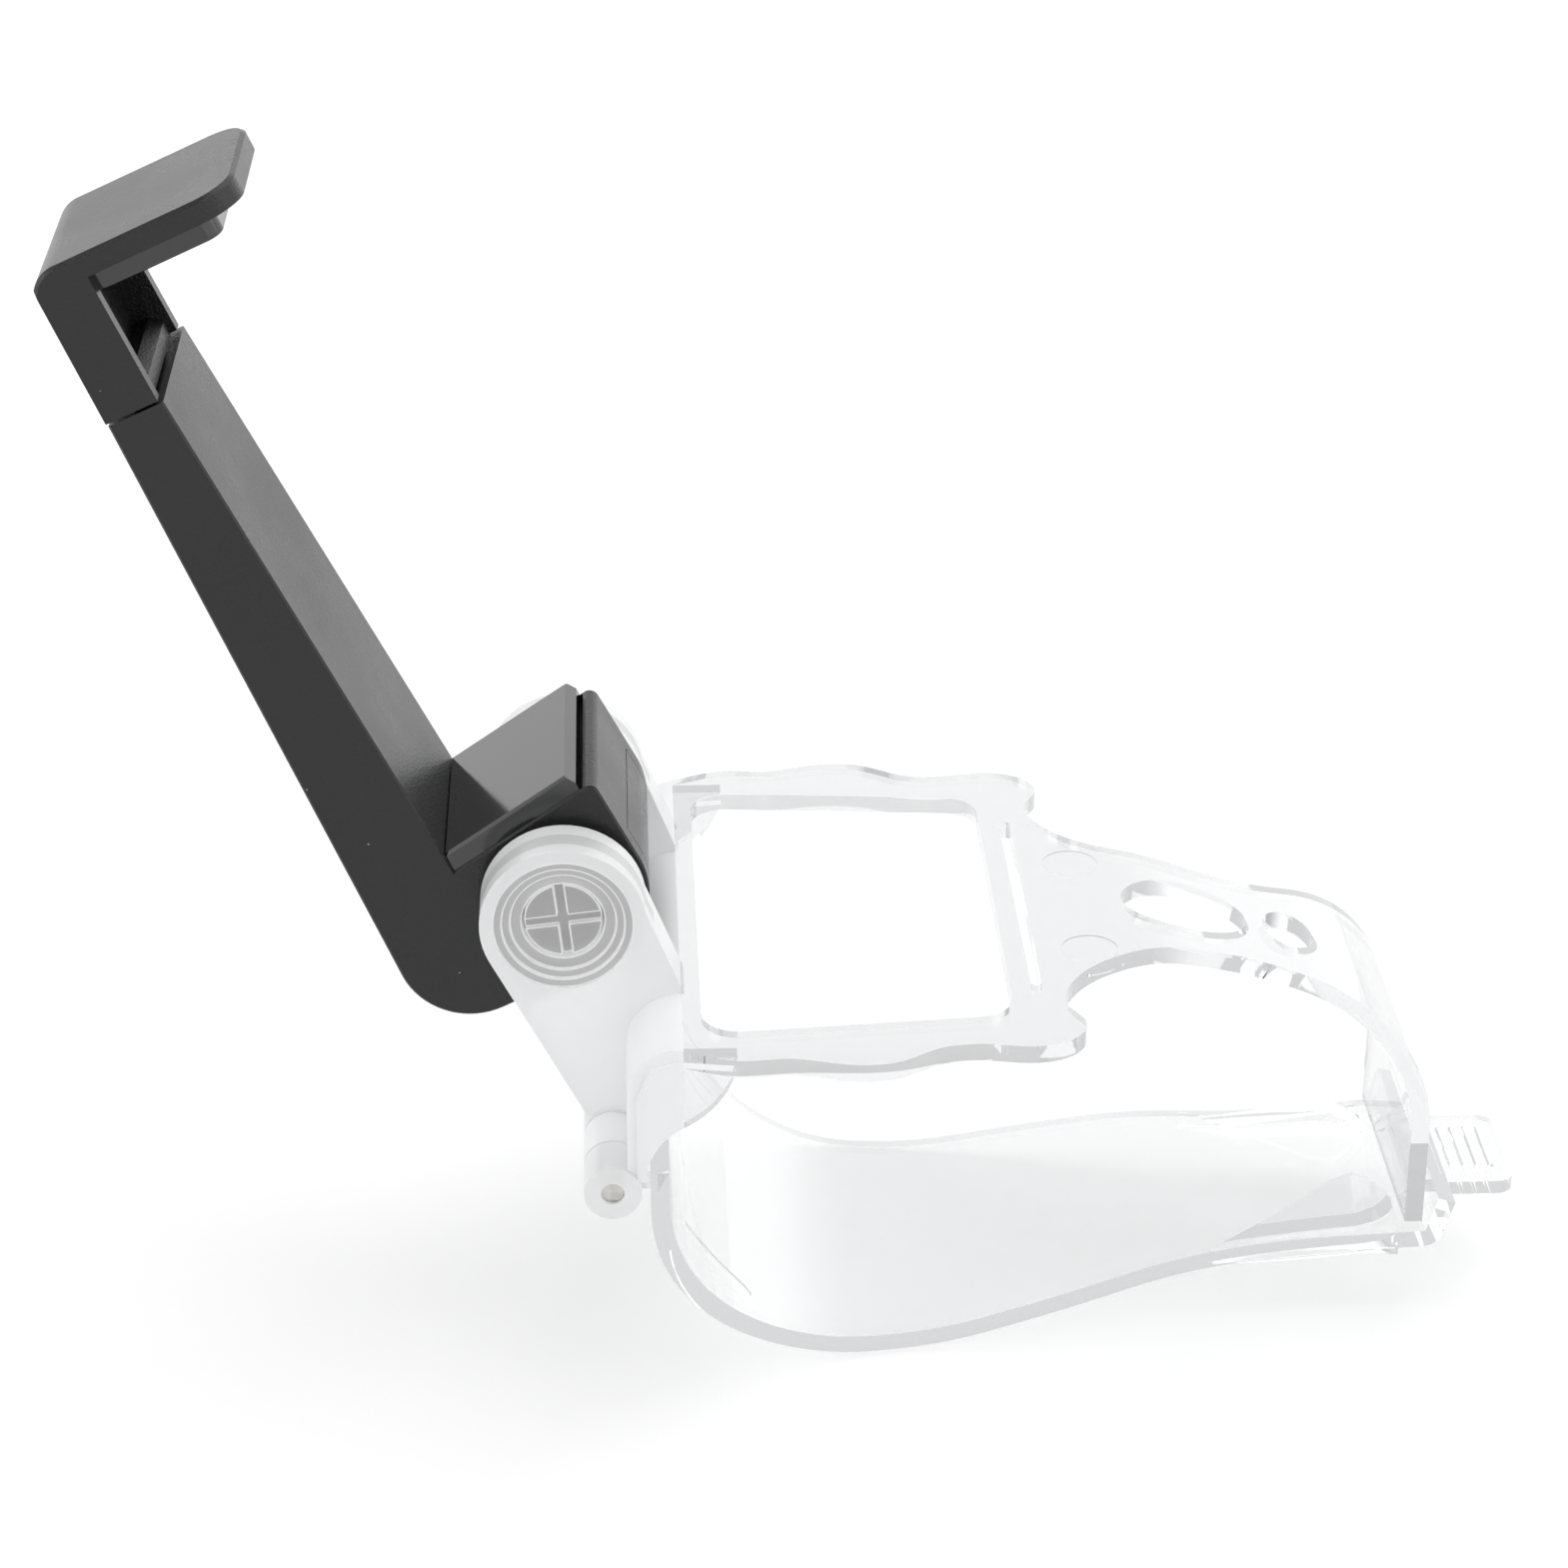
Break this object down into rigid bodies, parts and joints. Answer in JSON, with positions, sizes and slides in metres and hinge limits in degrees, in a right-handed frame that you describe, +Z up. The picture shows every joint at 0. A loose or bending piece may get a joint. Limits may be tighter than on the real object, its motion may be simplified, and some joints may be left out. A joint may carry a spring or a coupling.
{
  "type": "controller phone clip",
  "caption": "Clear hinged cradle that closes round a game controller's middle, with a tilting spring-closed phone clamp on two front lugs.",
  "frame": {"origin": "middle of the touchpad window, on the faceplate's underside that lies on the controller", "axes": "+X from the trigger side towards the player, +Y across the controller, +Z up out of the touchpad"},
  "size_m": [0.1576, 0.0716, 0.1318],
  "materials": {
    "clear_plastic": "clear polycarbonate, polished, with frosted lugs",
    "clear_plastic_lower": "clear polycarbonate, polished",
    "clear_plastic_screw": "clear polycarbonate, lightly frosted",
    "black_plastic": "fine-textured black ABS",
    "black_plastic_cover": "fine-textured black ABS",
    "black_rubber": "smooth glossy black rubber",
    "steel": "drawn steel wire and turned steel"
  },
  "bodies": {
    "cradle": {"upper_shell": "clear_plastic", "hinge_pin_left": "steel", "hinge_pin_right": "steel"},
    "lower_shell": {"lower_shell": "clear_plastic_lower"},
    "clamp": {"clamp_arm": "black_plastic", "arm_rear_cover": "black_plastic_cover", "rear_cover_screws": "steel", "base_hatch": "black_plastic", "base_pad": "black_rubber", "pivot_screw_left": "clear_plastic_screw", "pivot_screw_right": "clear_plastic_screw", "spring_washer_left": "steel", "spring_washer_right": "steel", "detent_ring_left": "clear_plastic_screw", "detent_ring_right": "clear_plastic_screw", "pivot_nut_left": "steel", "pivot_nut_right": "steel", "jaw_spring_left": "steel", "jaw_spring_right": "steel"},
    "jaw": {"sliding_jaw": "black_plastic", "jaw_pad": "black_rubber"}
  },
  "joints": [
    {"name": "clamp_tilt", "type": "hinge", "parent": "cradle", "child": "clamp", "pos_m": [-0.0313, 0, 0.0103], "axis": [0, 1, 0], "range_deg": [-30, 95]},
    {"name": "jaw_slide", "type": "slide", "parent": "clamp", "child": "jaw", "axis": [-0.4163, 0, 0.9092], "range_m": [0, 0.02], "stiffness_N_per_m": 150, "springref_m": -0.01},
    {"name": "lower_shell_hinge", "type": "hinge", "parent": "cradle", "child": "lower_shell", "pos_m": [-0.0266, 0, -0.015], "axis": [0, 1, 0], "range_deg": [0, 100]}
  ]
}
